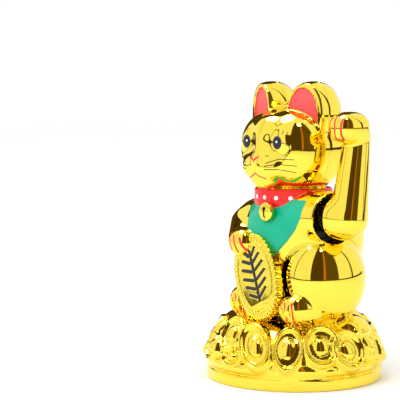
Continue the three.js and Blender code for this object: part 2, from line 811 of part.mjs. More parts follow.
function lead(side) {
  const x = side > 0 ? positiveX - contactThickness : negativeX;
  const inward = side > 0 ? -1 : 1;
  const tabX = x + (side > 0 ? -fitGap - leadRadius : contactThickness + fitGap + leadRadius);
  const y = cellCentreY - side * 2;
  const boardEdge = side > 0 ? postOuterX - 4 : postInnerX + 4;
  const backY = boardFrontY + boardDepth;
  const topZ = compartmentTopZ + 1.4;
  const curve = new THREE.CatmullRomCurve3([
    new THREE.Vector3(tabX, y, topZ),
    new THREE.Vector3(tabX + inward * 2, y, topZ + 2.6),
    new THREE.Vector3(tabX + inward * 6, y - 1, topZ + 4.2),
    new THREE.Vector3(boardEdge - inward * 4, backY + 2, boardTopZ + 3.4),
    new THREE.Vector3(boardEdge, backY - 2, boardTopZ + 2.4),
    new THREE.Vector3(boardEdge + inward, backY - 3.4, boardTopZ + leadRadius + 0.5),
  ]);
  return sweep(curve, leadRadius, 14, 8);
}

// ---- assembly ----

const group = new THREE.Group();

function place(name, body, material) {
  const mesh = new THREE.Mesh(toGeometry(body), materials[material]);
  mesh.name = name;
  group.add(mesh);
}

const cat = catBody();
place('front_shell', half(cat, true), 'gold');
place('rear_shell', half(cat, false), 'gold');

const arm = armHalves();
place('arm_outer_half', arm.outer, 'gold');
place('arm_inner_half', arm.inner, 'gold');
place('axle', axle(), 'steel');
place('axle_clip', axleClip(), 'steel');
place('pendulum_lever', pendulumLever(), 'nylon');
place('pendulum_magnet', pendulumMagnet(), 'steel');
place('counterweight', counterweight(), 'steel');

place('base_plate', basePlate(), 'basePlastic');
place('battery_door', batteryDoor(), 'basePlastic');
place('battery_cell', batteryCell(), 'cell');
place('battery_spring', batterySpring(), 'steel');
place('negative_contact', contactPlate(negativeX, false), 'steel');
place('positive_contact', contactPlate(positiveX - contactThickness, true), 'steel');
place('lead_red', lead(1), 'red');
place('lead_black', lead(-1), 'black');

place('pivot_tower', pivotTower(), 'plastic');
place('axle_bush_1', bush(postInnerX), 'nylon');
place('axle_bush_2', bush(postOuterX), 'nylon');
place('circuit_board', circuitBoard(), 'board');
place('coil_bobbin', coilBobbin(), 'nylon');
place('drive_coil', driveCoil(), 'copper');
place('transistor', transistor(), 'black');
place('capacitor', capacitor(), 'black');

plateScrewPlaces().forEach(([x, y], i) => {
  place(`base_screw_${i + 1}`, screw(x, y, restGap, 6, 1), 'steel');
});
towerScrewPlaces().forEach(([x, y], i) => {
  place(`tower_screw_${i + 1}`, screw(x, y, restGap, 3, 1), 'steel');
});
boardScrewPlaces().forEach(([x, y], i) => {
  place(`board_screw_${i + 1}`, screw(x, y, boardTopZ + restGap + screwHeadHeight, 3.4, -1), 'steel');
});

export default group;
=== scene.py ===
import json
import math
import bmesh
import bpy
import numpy as np
import openvdb
from mathutils import Matrix, Vector


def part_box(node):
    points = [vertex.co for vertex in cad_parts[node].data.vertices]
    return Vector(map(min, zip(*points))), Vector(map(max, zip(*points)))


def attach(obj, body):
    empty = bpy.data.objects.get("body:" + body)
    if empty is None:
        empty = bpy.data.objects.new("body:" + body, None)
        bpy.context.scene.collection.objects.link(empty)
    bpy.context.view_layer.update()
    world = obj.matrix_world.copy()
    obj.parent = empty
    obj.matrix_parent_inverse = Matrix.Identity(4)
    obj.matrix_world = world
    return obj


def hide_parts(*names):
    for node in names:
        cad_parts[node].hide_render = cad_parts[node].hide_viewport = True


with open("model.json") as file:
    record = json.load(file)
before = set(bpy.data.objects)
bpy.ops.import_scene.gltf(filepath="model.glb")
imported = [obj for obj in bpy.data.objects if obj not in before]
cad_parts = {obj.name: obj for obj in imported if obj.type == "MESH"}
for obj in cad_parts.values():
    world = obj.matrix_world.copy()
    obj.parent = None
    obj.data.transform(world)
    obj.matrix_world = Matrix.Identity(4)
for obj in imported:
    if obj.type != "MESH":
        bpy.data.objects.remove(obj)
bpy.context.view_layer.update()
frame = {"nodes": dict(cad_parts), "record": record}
mm = 0.001


# forms: each shape gives a signed distance in millimetres, negative inside, with its centre and its reach

# a rounded lump, squarer the higher its power is
def blob(centre, radii, power=2.0):
    centre = np.array(centre, np.float32)
    radii = np.array(radii, np.float32)

    def distance(p):
        a = np.abs(p - centre) / radii + 1e-5
        level = (a ** power).sum(1) ** (1 / power)
        slope = (level ** (1 - power))[:, None] * a ** (power - 1) / radii
        return (level - 1) / np.sqrt((slope ** 2).sum(1))
    return distance, centre, float(radii.max())


# a round bar with round ends that may taper
def limb(start, end, startRadius, endRadius):
    start, end = np.array(start, np.float32), np.array(end, np.float32)
    along = end - start
    length = float(along @ along)

    def distance(p):
        q = p - start
        share = np.clip((q @ along) / length, 0, 1)
        gap = np.linalg.norm(q - share[:, None] * along, axis=1)
        return gap - (startRadius + (endRadius - startRadius) * share)
    reach = math.sqrt(length) / 2 + max(startRadius, endRadius)
    return distance, (start + end) / 2, reach


# a disc or drum with rounded edges: axis is 0, 1 or 2
def drum(centre, radius, halfLength, axis=2, edge=0.6):
    centre = np.array(centre, np.float32)
    others = [i for i in range(3) if i != axis]

    def distance(p):
        q = p - centre
        side = np.hypot(q[:, others[0]], q[:, others[1]]) - radius + edge
        flat = np.abs(q[:, axis]) - halfLength + edge
        outside = np.hypot(np.maximum(side, 0), np.maximum(flat, 0))
        return outside + np.minimum(np.maximum(side, flat), 0) - edge
    return distance, centre, max(radius, halfLength) * 1.05


def slab(normal, offset):
    normal = np.array(normal, np.float32)
    normal /= np.linalg.norm(normal)
    return (lambda p: p @ normal - offset), np.zeros(3, np.float32), 400.0


def softMin(a, b, blend):
    if blend <= 0:
        return np.minimum(a, b)
    h = np.maximum(blend - np.abs(a - b), 0) / blend
    return np.minimum(a, b) - h * h * blend / 4


# builds a form from steps of (verb, shape, blend); the verbs are add, cut, keep and raise
def evaluate(points, steps):
    farAway, margin = 12.0, 2.5
    value = np.full(len(points), farAway, np.float32)
    for verb, (shape, centre, reach), blend in steps:
        near = np.abs(points - centre).max(1) < reach + blend + margin
        if verb == "keep":
            near[:] = True
        if not near.any():
            continue
        other = shape(points[near]).astype(np.float32)
        old = value[near]
        if verb == "add":
            value[near] = softMin(old, other, blend)
        elif verb == "cut":
            value[near] = -softMin(-old, other, blend)
        elif verb == "keep":
            value[near] = -softMin(-old, -other, blend)
        elif verb == "raise":
            value[near] = old - other
    return value


# distance from the line between two points of a plane
def lineDistance(a, b, start, end):
    (x0, y0), (x1, y1) = start, end
    ex, ey = x1 - x0, y1 - y0
    share = np.clip(((a - x0) * ex + (b - y0) * ey) / (ex * ex + ey * ey), 0, 1)
    return np.hypot(a - x0 - share * ex, b - y0 - share * ey)


# distance from a closed outline in a plane, negative inside
def outlineDistance(a, b, corners):
    best = np.full(len(a), 1e9)
    inside = np.zeros(len(a), bool)
    for start, end in zip(corners, corners[1:] + corners[:1]):
        best = np.minimum(best, lineDistance(a, b, start, end))
        (x0, y0), (x1, y1) = start, end
        crosses = (y0 > b) != (y1 > b)
        inside ^= crosses & (a < (b - y0) / ((y1 - y0) or 1e-9) * (x1 - x0) + x0)
    return np.where(inside, -best, best)


def smoothStep(value, low, high):
    t = np.clip((value - low) / (high - low), 0, 1)
    return t * t * (3 - 2 * t)


# the mound of coins and its plinth; power sets how square its shoulder is
mound = {"radius": 37.4, "rise": 23.5, "low": 8, "power": 2.6, "plinthRadius": 40, "stepRadius": 38.6,
         "lipRadius": 40.3, "lumpRadius": 26, "lumpDrop": 3}
# angle round the base from the front towards the cat's left, height, half width, half height, tilt
coins = [
    (43, 18.0, 7.0, 11.2, -4), (19, 18.4, 8.0, 12.6, 30), (-6, 22.0, 7.4, 9.6, 18),
    (66, 19.2, 9.0, 10.6, -16), (86, 16.6, 9.6, 10.0, -8), (110, 17.0, 8.4, 11.0, 34),
    (-27, 14.6, 8.4, 7.0, -20), (-44, 18.4, 7.6, 10.8, 12), (-68, 16.6, 9.2, 9.8, -14),
    (-90, 18.6, 7.8, 11.0, 18), (-113, 16.0, 9.4, 9.4, -10), (134, 16.4, 9.2, 9.8, -16),
    (159, 17.6, 8.2, 10.8, 14), (185, 16.0, 9.4, 9.4, -18), (211, 17.6, 8.2, 10.8, 10),
    (235, 16.0, 9.2, 9.4, -12), (1, 12.6, 6.8, 4.4, 8),
]
coinFace = {"lift": 0.5, "rim": 1.9, "rimAt": 0.85, "rimWidth": 0.13, "dome": 2.6, "domeSize": 0.46,
            "depth": 6, "edge": 1.4, "lowest": 6.6, "lean": 14, "leanPerHeight": 1.6}
# angle, height and size of each rounded heap behind the coins
lumps = [(112, 25.5, 11), (136, 24.5, 9), (-62, 26, 9), (-100, 25, 10), (165, 25.5, 10), (205, 25, 10),
         (235, 25.5, 9)]


def roundTheBase(angle, radius):
    turn = math.radians(angle)
    return radius * math.sin(turn), -radius * math.cos(turn)


# a coin on the mound's side: a raised rim, and a dome in the middle
def coinShape(angle, height, halfWidth, halfHeight, tilt):
    lean = math.radians(coinFace["lean"] + coinFace["leanPerHeight"] * max(height - 10, 0))
    out = np.array([math.sin(math.radians(angle)), -math.cos(math.radians(angle)), 0])
    normal = out * math.cos(lean) + np.array([0, 0, math.sin(lean)])
    across = np.array([-out[1], out[0], 0])
    up = np.cross(normal, across)
    if up[2] < 0:
        up = -up
    t = math.radians(tilt)
    across, up = across * math.cos(t) + up * math.sin(t), up * math.cos(t) - across * math.sin(t)
    level = min(max((height - mound["low"]) / mound["rise"], 0), 0.99)
    radius = mound["radius"] * (1 - level ** mound["power"]) ** (1 / mound["power"])
    centre = out * (radius + 0.4) + np.array([0, 0, height])
    axes = np.stack([across, up, normal], 1).astype(np.float32)
    centre = centre.astype(np.float32)

    def distance(p):
        q = (p - centre) @ axes
        ring = np.hypot(q[:, 0] / halfWidth, q[:, 1] / halfHeight)
        rim = coinFace["rim"] * np.exp(-((ring - coinFace["rimAt"]) / coinFace["rimWidth"]) ** 2)
        dome = coinFace["dome"] * np.sqrt(np.maximum(1 - (ring / coinFace["domeSize"]) ** 2, 0.0025))
        top = coinFace["lift"] + rim + dome
        side = (ring - 1) * min(halfWidth, halfHeight)
        body = np.maximum((q[:, 2] - top) * 0.75, -q[:, 2] - coinFace["depth"])
        return np.maximum(-softMin(-body, -side, coinFace["edge"]), coinFace["lowest"] - p[:, 2])
    return distance, centre, max(halfWidth, halfHeight) + 3


def moundDome(inset):
    radius, rise = mound["radius"] - inset, mound["rise"] - inset
    return blob((0, 0, mound["low"]), (radius, radius, rise), mound["power"])


def moundSteps():
    steps = [
        ("add", drum((0, 0, 2.6), mound["plinthRadius"], 2.6, edge=0.6), 0),
        ("add", drum((0, 0, 6), mound["stepRadius"], 2, edge=0.5), 0.2),
        ("add", drum((0, 0, 8.6), mound["lipRadius"], 2.5, edge=2.3), 0.3),
        ("add", moundDome(0), 1.2),
    ]
    for angle, height, size in lumps:
        x, y = roundTheBase(angle, mound["lumpRadius"])
        steps.append(("add", blob((x, y, height - mound["lumpDrop"]), (size, size, size * 0.75)), 1.5))
    for coin in coins:
        steps.append(("add", coinShape(*coin), 0.7))
    steps.append(("keep", slab((0, 0, -1), 0), 0))
    return steps


# the bib's outline, across and up, and how far it stands out
bib = {"corners": [(-21, 84), (-19, 79), (-13.5, 74), (-10.5, 67), (-4, 62.2), (4, 59.6), (8.7, 58.4),
                   (14.7, 65), (18.8, 70), (21.7, 75), (22.3, 80), (22.5, 84)], "raised": 0.5, "top": 83}


def bibMargin(p):
    distance = outlineDistance(p[:, 0], p[:, 2], bib["corners"])
    return np.where(p[:, 1] < 0, distance, 9.0)


def bibRaise(p):
    return bib["raised"] * smoothStep(-bibMargin(p), -0.2, 0.9)


collar = {"centreY": -1.0, "radius": 17.8, "low": 79.4, "high": 87.4}
collarMiddle = (collar["low"] + collar["high"]) / 2
axleMiddle = (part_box("axle")[0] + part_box("axle")[1]) / (2 * mm)
pivotY, pivotZ = axleMiddle.y, axleMiddle.z
# the oval pocket that the raised arm sits in
socket = {"y": -3.2, "z": 75.0, "halfY": 12.6, "halfZ": 10.8, "floorX": 22.0, "edgeX": 29.0,
          "wall": 1.2, "depth": 10.5, "openX": 31, "backWall": 2}
# centre and radii of each rounded part of the body
torso = {
    "lower": ((0, 2.6, 45), (24, 25, 31)), "upper": ((0, 4.5, 67), (30.2, 24.5, 16.4)),
    "back": ((0, 7.6, 50), (28.5, 23, 27)),
    "leftThigh": ((20.8, -1.2, 47.0), (17.4, 20, 21.4)), "rightThigh": ((-15.8, 0.8, 46.0), (16.4, 18, 18.4)),
    "leftFoot": ((21.0, -11.5, 34.8), (9.0, 15.0, 8.6)),
    "rightFoot": ((-14.6, -11.0, 34.8), (9.0, 13.4, 8.6)),
    "toes": (-3.6, 0, 3.6), "neck": ((0, -1.0, 79), (17.0, 16.6, 10)),
    "leftShoulder": ((16, -3.4, 72.5), (13, 13.5, 11.5)),
    "rightShoulder": ((-21.5, -3.0, 70), (10.3, 10.5, 11)),
}
# the arm that holds the koban: a tapering limb, and the grooves of its claws
rightArm = {"start": (-23.4, -8, 68.5), "end": (-15.6, -18.6, 63), "startRadius": 8.4, "endRadius": 6.6,
            "paw": ((-11.4, -22.0, 62.2), (7.0, 5.8, 6.6)), "lines": (-3.0, 0.6, 4.2), "lineDepth": 0.7}


# an oval drum along X: the pocket itself, or with a wall the shoulder round it
def socketForm(wall, depth):
    centreX = socket["edgeX"] - depth if depth else socket["openX"]
    centre = np.array([centreX, socket["y"], socket["z"]], np.float32)
    half = depth or socket["openX"] - socket["floorX"]
    across, up = socket["halfY"] + wall, socket["halfZ"] + wall

    def distance(p):
        q = p - centre
        ring = np.hypot(q[:, 1] / across, q[:, 2] / up)
        side = (ring - 1) * (across + up) / 2
        return -softMin(-side, -(np.abs(q[:, 0]) - half), 1.0)
    return distance, centre, max(across, half) + 1


bibSteps = 7  # the body's first steps, which the bib lies on


def torsoSteps():
    steps = [
        ("add", blob(*torso["lower"]), 0),
        ("add", blob(*torso["back"]), 6),
        ("add", blob(*torso["upper"], power=2.2), 7),
        ("add", blob(*torso["neck"]), 3),
        ("raise", (bibRaise, np.array([0, -14, 70], np.float32), 22.0), 0),
        ("add", blob(*torso["leftShoulder"]), 4),
        ("add", socketForm(socket["wall"], socket["depth"]), 2.0),
        ("add", blob(*torso["rightShoulder"]), 4),
        ("add", limb(*(rightArm[key] for key in ("start", "end", "startRadius", "endRadius"))), 2.2),
        ("add", blob(*rightArm["paw"]), 1.6),
    ]
    for shift in rightArm["lines"]:
        start = (-12.4 + shift, -28.2, 65.8 - 0.25 * shift)
        end = (-9.8 + shift, -28.0, 58.6)
        steps.append(("cut", limb(start, end, rightArm["lineDepth"], rightArm["lineDepth"]), 0.8))
    for side in (-1, 1):
        steps.append(("add", blob(*torso["leftThigh" if side > 0 else "rightThigh"]), 1.8))
        (x, y, z), radii = torso["leftFoot" if side > 0 else "rightFoot"]
        steps.append(("add", blob((x, y, z), radii, 2.2), 1.2))
        for shift in torso["toes"]:
            toeY = y - radii[1] + 0.3 + 0.06 * shift ** 2
            start, end = (x + shift, toeY, 37), (x + shift, toeY + 1.6, 28)
            steps.append(("cut", limb(start, end, 0.8, 0.8), 0.8))
    steps.append(("cut", socketForm(0, 0), 0.5))
    return steps


# the head: an ear, an eye, a cheek and what else has an x are on both sides
head = {"centre": (0, -1.6, 104.6), "radii": (23.7, 20.8, 19.4), "power": 2.45}
ear = {"x": 13.8, "y": -2.0, "z": 120.4, "radii": (9.7, 14.4, 15.2), "frontY": -8.75, "turn": 17,
       "inset": 1.2, "recess": 0.8}
eye = {"x": 10.2, "z": 108.4, "halfWidth": 2.75, "halfHeight": 3.0,
       "glintRight": -0.2, "glintUp": 0.4, "glintSize": 0.3}
face = {
    "ridge": ((0, -20.6, 101.5), (0, -17.4, 115.5), 2.4, 2.6), "hollow": ((10.2, -27.5, 107.8), (9, 7.2, 9)),
    "eyeball": ((eye["x"], -18.6, eye["z"]), (4.2, 1.9, 4.4)),
    "cheek": ((4.2, -19.7, 97.0), (7.4, 4.9, 5.6)), "nose": ((0, -22.8, 101.0), (2.9, 2.4, 2.0)),
    "chin": ((0, -18.2, 91.0), (7.0, 4.8, 3.8)), "groove": ((0, -25.9, 99.2), (0, -25.2, 95.4), 0.5, 0.5),
}


# distance from the ear's painted face: an arch with straight sides, in the plane of the ear's front
def earFace(side):
    rx, ry, rz = ear["radii"]
    scale = math.sqrt(1 - ((ear["frontY"] - ear["y"]) / ry) ** 2)
    halfWidth, height = rx * scale - ear["inset"], rz * scale - ear["inset"]
    centre = np.array([side * ear["x"], ear["frontY"], ear["z"]], np.float32)
    spin = np.array(Matrix.Rotation(math.radians(side * ear["turn"]), 3, "Z"), np.float32)

    def distance(p):
        q = (p - centre) @ spin
        ring = np.hypot(q[:, 0] / halfWidth, np.maximum(q[:, 2], 0) / height)
        return np.maximum((ring - 1) * halfWidth, np.abs(q[:, 1]) - ear["recess"])
    return distance, centre, 17.0


def earSteps(side):
    turn = math.radians(ear["turn"])
    facing = (side * math.sin(turn), -math.cos(turn), 0)
    reach = math.sin(turn) * ear["x"] - math.cos(turn) * ear["frontY"]
    return [
        ("add", blob((side * ear["x"], ear["y"], ear["z"]), ear["radii"], 2.2), 0),
        ("keep", slab(facing, reach), 0.9),
        ("cut", earFace(side), 0.3),
    ]


def earForm(side):
    steps = earSteps(side)
    return (lambda p: evaluate(p, steps)), np.array([side * ear["x"], ear["y"], ear["z"]], np.float32), 18.0


def headSteps():
    steps = [("add", blob(head["centre"], head["radii"], head["power"]), 0)]
    steps += [("add", earForm(side), 1.2) for side in (-1, 1)]
    steps.append(("add", limb(*face["ridge"]), 6.0))
    for side in (-1, 1):
        for verb, key, blend in (("cut", "hollow", 4.0), ("add", "eyeball", 2.4), ("add", "cheek", 4.0)):
            (x, y, z), radii = face[key]
            steps.append((verb, blob((side * x, y, z), radii), blend))
    steps += [
        ("add", blob(*face["nose"]), 1.6),
        ("add", blob(*face["chin"]), 3.0),
        ("cut", limb(*face["groove"]), 0.9),
    ]
    return steps


def collarForm():
    return drum((0, collar["centreY"], collarMiddle), collar["radius"],
                (collar["high"] - collar["low"]) / 2, edge=1.3)


# the room inside the cat, which leaves a wall about two millimetres thick
hollowWall = 2.1


def hollowSteps():
    w = hollowWall
    (lx, ly, lz), (lrx, lry, lrz) = torso["lower"]
    (ux, uy, uz), (urx, ury, urz) = torso["upper"]
    steps = [
        ("add", drum((0, 0, 2), 36.3, 5.2, edge=0.1), 0),
        ("add", moundDome(w), 0),
        ("add", blob((lx, ly, lz), (lrx - w, lry - w, lrz - w)), 0),
        ("add", blob((ux, uy, uz), (urx - w, ury - w, urz - w), 2.4), 3),
        ("add", drum((0, collar["centreY"], 80), collar["radius"] - 3, 6), 1),
        ("add", blob(head["centre"], [r - w for r in head["radii"]], head["power"]), 0),
    ]
    for side in (-1, 1):
        centre, radii = torso["leftThigh" if side > 0 else "rightThigh"]
        steps.append(("add", blob(centre, [r - w for r in radii]), 0.5))
    wall = socket["backWall"]
    pocket = drum((socket["openX"], socket["y"], socket["z"]), socket["halfY"] + wall,
                  socket["openX"] + wall - socket["floorX"], axis=0)
    steps.append(("cut", pocket, 0))
    return steps


moundForm, torsoForm, headForm = moundSteps(), torsoSteps(), headSteps()
hollowForm = hollowSteps()
pivotHole = drum((14, pivotY, pivotZ), 5.2, 20, axis=0, edge=0.1)


def catDistance(p):
    outside = softMin(evaluate(p, torsoForm), evaluate(p, moundForm), 0.8)
    outside = softMin(outside, collarForm()[0](p), 0.3)
    outside = softMin(outside, evaluate(p, headForm), 0.3)
    return np.maximum(np.maximum(outside, -evaluate(p, hollowForm)), -pivotHole[0](p))


# meshing: a level grid, then each vertex is drawn onto the exact surface

def slopeAt(field, points, step=0.12):
    slope = np.empty_like(points)
    for axis in range(3):
        shift = np.zeros(3, np.float32)
        shift[axis] = step
        slope[:, axis] = (field(points + shift) - field(points - shift)) / (2 * step)
    return slope


def gridMesh(field, piece):
    low, high = np.array(piece["low"], float), np.array(piece["high"], float)
    pitch = piece["pitch"]
    counts = np.ceil((high - low) / pitch).astype(int) + 1
    axes = [(low[i] + pitch * np.arange(counts[i])).astype(np.float32) for i in range(3)]
    values = np.empty(counts, np.float32)
    for start in range(0, counts[0], 16):
        part = np.stack(np.meshgrid(axes[0][start:start + 16], axes[1], axes[2], indexing="ij"), -1)
        values[start:start + 16] = field(part.reshape(-1, 3)).reshape(part.shape[:3])
    grid = openvdb.FloatGrid(5.0)
    grid.copyFromArray(np.clip(values / pitch, -4.9, 4.9))
    points, triangles, quads = grid.convertToPolygons(isovalue=0.0, adaptivity=0.0)
    points = (np.array(points, np.float32) * pitch + low).astype(np.float32)
    for _ in range(3):
        value, slope = field(points), slopeAt(field, points)
        size = np.maximum((slope ** 2).sum(1), 0.2)
        points -= np.clip(value / size, -0.4 * pitch, 0.4 * pitch)[:, None] * slope
    faces = np.array(quads).tolist() + np.array(triangles).tolist()
    return points, faces


def makeObject(name, points, faces):
    mesh = bpy.data.meshes.new(name)
    mesh.from_pydata((points * mm).tolist(), [], faces)
    mesh.validate()
    obj = bpy.data.objects.new(name, mesh)
    bpy.context.scene.collection.objects.link(obj)
    return obj


# cuts the mesh at a plane, keeps the side that the normal points away from and closes the cut
def splitAt(obj, place, normal):
    work = bmesh.new()
    work.from_mesh(obj.data)
    parts = work.verts[:] + work.edges[:] + work.faces[:]
    bmesh.ops.bisect_plane(work, geom=parts, plane_co=place, plane_no=normal, clear_outer=True, dist=1e-7)
    edges = [e for e in work.edges if e.is_boundary]
    bmesh.ops.triangle_fill(work, use_beauty=False, use_dissolve=False, edges=edges,
                            normal=Vector(normal))
    work.to_mesh(obj.data)
    work.free()


def vertexPlaces(obj):
    places = np.empty(len(obj.data.vertices) * 3, np.float32)
    obj.data.vertices.foreach_get("co", places)
    return places.reshape(-1, 3) / mm


def smoothNormals(obj, field):
    places = vertexPlaces(obj)
    slope = slopeAt(field, places)
    slope /= np.maximum(np.linalg.norm(slope, axis=1, keepdims=True), 1e-6)
    obj.data.shade_smooth()
    obj.data.normals_split_custom_set_from_vertices(slope.tolist())


def paintMargin(obj, name, values):
    layer = obj.data.attributes.new(name, "FLOAT", "POINT")
    layer.data.foreach_set("value", np.asarray(values, np.float32))


def finishPiece(obj, body, material, nodes=()):
    obj.data.materials.clear()
    obj.data.materials.append(material)
    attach(obj, body)
    if nodes:
        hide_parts(*nodes)


# shader maths: a value is one socket, and an expression on values adds its nodes

class Value:
    def __init__(self, shader, out):
        self.shader, self.out = shader, out

    def math(self, verb, *others):
        return self.shader.maths(verb, self, *others)

    def __add__(self, other):
        return self.math("ADD", other)

    def __sub__(self, other):
        return self.math("SUBTRACT", other)

    def __mul__(self, other):
        return self.math("MULTIPLY", other)

    def __lt__(self, other):
        return self.math("LESS_THAN", other)

    def __truediv__(self, other):
        return self.math("DIVIDE", other)

    def __gt__(self, other):
        return self.math("GREATER_THAN", other)

    def __radd__(self, other):
        return self.math("ADD", other)

    def __rsub__(self, other):
        return self.shader.maths("SUBTRACT", other, self)

    def __rmul__(self, other):
        return self.math("MULTIPLY", other)

    def __rtruediv__(self, other):
        return self.shader.maths("DIVIDE", other, self)

    def __abs__(self):
        return self.math("ABSOLUTE")

    def least(self, other):
        return self.math("MINIMUM", other)

    def most(self, other):
        return self.math("MAXIMUM", other)

    def clamped(self):
        return self.most(0.0).least(1.0)


class Shader:
    def __init__(self, name):
        self.material = bpy.data.materials.new(name)
        self.material.use_nodes = True
        self.tree = self.material.node_tree
        self.tree.nodes.clear()
        self.end = self.tree.nodes.new("ShaderNodeOutputMaterial").inputs[0]
        self.surface = self.node("ShaderNodeBsdfPrincipled").out.node
        self.tree.links.new(self.surface.outputs[0], self.end)

    def feed(self, place, item):
        if isinstance(item, Value):
            self.tree.links.new(item.out, place)
        elif isinstance(item, (tuple, list)) and place.type == "RGBA":
            place.default_value = tuple(item[:3]) + (1,)
        else:
            place.default_value = item

    # sockets are given by name, or by number as i0, i1 and so on
    def node(self, kind, settings=None, output=0, **sockets):
        made = self.tree.nodes.new(kind)
        for key, item in (settings or {}).items():
            setattr(made, key, item)
        for key, item in sockets.items():
            numbered = key[0] == "i" and key[1:].isdigit()
            self.feed(made.inputs[int(key[1:]) if numbered else key], item)
        return Value(self, made.outputs[output])

    def maths(self, verb, *items):
        sockets = {"i" + str(place): item for place, item in enumerate(items)}
        return self.node("ShaderNodeMath", {"operation": verb}, **sockets)

    def place(self):
        return self.node("ShaderNodeTexCoord", output="Object")

    # across, depth and height in millimetres
    def axes(self):
        split = self.node("ShaderNodeSeparateXYZ", Vector=self.place()).out.node
        return [Value(self, out) * (1 / mm) for out in split.outputs]

    def attribute(self, name):
        return self.node("ShaderNodeAttribute", {"attribute_name": name}, output="Fac")

    def noise(self, scale, detail=3.0, rough=0.5):
        return self.node("ShaderNodeTexNoise", Vector=self.place(), Scale=scale, Detail=detail,
                         Roughness=rough)

    def mixed(self, share, first, second):
        return self.node("ShaderNodeMix", {"data_type": "RGBA"}, output=2, i0=share, i6=first, i7=second)

    def bump(self, height, strength, distance):
        return self.node("ShaderNodeBump", Height=height, Strength=strength, Distance=distance)

    def set(self, **sockets):
        for key, item in sockets.items():
            self.feed(self.surface.inputs[key.replace("_", " ")], item)
        return self.material

    def glow(self, colour, strength):
        light = self.node("ShaderNodeEmission", Color=colour, Strength=strength)
        self.tree.links.new(light.out, self.end)
        self.tree.nodes.remove(self.surface)
        return self.material


paint = {
    "gold": (0.97, 0.765, 0.085), "deepGold": (0.93, 0.66, 0.03),
    "ear": (1.0, 0.105, 0.10), "earBase": (1.0, 0.02, 0.008),
    "collar": (0.80, 0.008, 0.012), "collarWeave": (0.93, 0.035, 0.03), "white": (0.9, 0.9, 0.9),
    "bib": (0.0, 0.52, 0.30), "bibDark": (0.0, 0.30, 0.18),
    "pocket": (0.008, 0.006, 0.004), "pocketShadeMottle": (0.014, 0.01, 0.006),
    # the two pocket colours are near black: painted shade inside the arm's pocket, mottled by noise
    "slate": (0.012, 0.014, 0.022), "slateEdge": (0.05, 0.055, 0.075), "glint": (1, 1, 1),
    "ink": (0.012, 0.012, 0.02), "claw": (0.95, 0.03, 0.04), "lip": (0.95, 0.06, 0.07),
}
plating = {"roughness": 0.035, "wave": 0.05, "waveScale": 95.0, "grainScale": 2600.0}
paintRough = {"least": 0.26, "spread": 0.08, "scale": 420.0}


# distance from a brush stroke in the plane of a and b, less its half width
def strokeMargin(a, b, start, end, halfWidth):
    ex, ey = end[0] - start[0], end[1] - start[1]
    px, py = a - start[0], b - start[1]
    share = ((px * ex + py * ey) * (1 / (ex * ex + ey * ey))).clamped()
    dx, dy = px - share * ex, py - share * ey
    return (dx * dx + dy * dy).math("SQRT") - halfWidth


def strokes(a, b, rows):
    best = None
    for start, end, halfWidth in rows:
        margin = strokeMargin(a, b, start, end, halfWidth)
        best = margin if best is None else best.least(margin)
    return best


def goldBase(shader):
    wide = shader.noise(28.0, 2.0)
    return shader.mixed((wide - 0.35) * 0.5, paint["gold"], paint["deepGold"])


def goldBump(shader):
    wave = shader.noise(plating["waveScale"], 2.0, 0.4)
    grain = shader.noise(plating["grainScale"], 1.0)
    return shader.bump(wave + grain * 0.015, plating["wave"], 0.001)


def goldRough(shader):
    return shader.noise(240.0, 3.0) * 0.03 + (plating["roughness"] - 0.01)


# smooth on the plating, and rougher where it is painted
def paintedRough(shader, painted):
    rough = goldRough(shader)
    brushed = shader.noise(paintRough["scale"], 3.0) * paintRough["spread"] + paintRough["least"]
    return rough + painted * (brushed - rough)


# strokes of the brush, in millimetres: start, end and half width
# on the face x is the distance from the middle, so each stroke is on both sides
whiskers = [((6.8, 99.2), (11.6, 101.2), 0.2), ((11.6, 101.2), (17.8, 101.0), 0.17),
            ((6.2, 97.9), (11.6, 98.9), 0.2), ((11.6, 98.9), (18.2, 98.2), 0.17),
            ((6.2, 96.4), (11.6, 96.6), 0.2), ((11.6, 96.6), (17.2, 95.2), 0.17)]
lashes = [((10.6, 112.6), (10.3, 114.4), 0.13), ((12.6, 112.3), (12.4, 114.0), 0.13),
          ((14.5, 111.7), (14.5, 113.3), 0.13), ((14.6, 107.3), (16.4, 107.7), 0.13)]
nose = [((0.0, 100.3), (2.2, 101.9), 0.5), ((0.0, 100.3), (0.0, 99.6), 0.4)]
mouth = [((0.0, 94.7), (2.0, 93.4), 0.34), ((2.0, 93.4), (5.4, 92.2), 0.32)]
footClaws = [((torso[foot][0][0] + shift, 28.6), (torso[foot][0][0] + shift, 38.2), 0.45)
             for foot in ("leftFoot", "rightFoot") for shift in torso["toes"]]
handClaws = [((-15.4, 66.6), (-12.8, 59.4), 0.5), ((-11.8, 65.7), (-9.2, 58.6), 0.5),
             ((-8.2, 64.8), (-5.6, 59.0), 0.5)]
collarDots = {"angles": (-64, -43, -21, 0, 21, 43, 64), "size": 0.95}


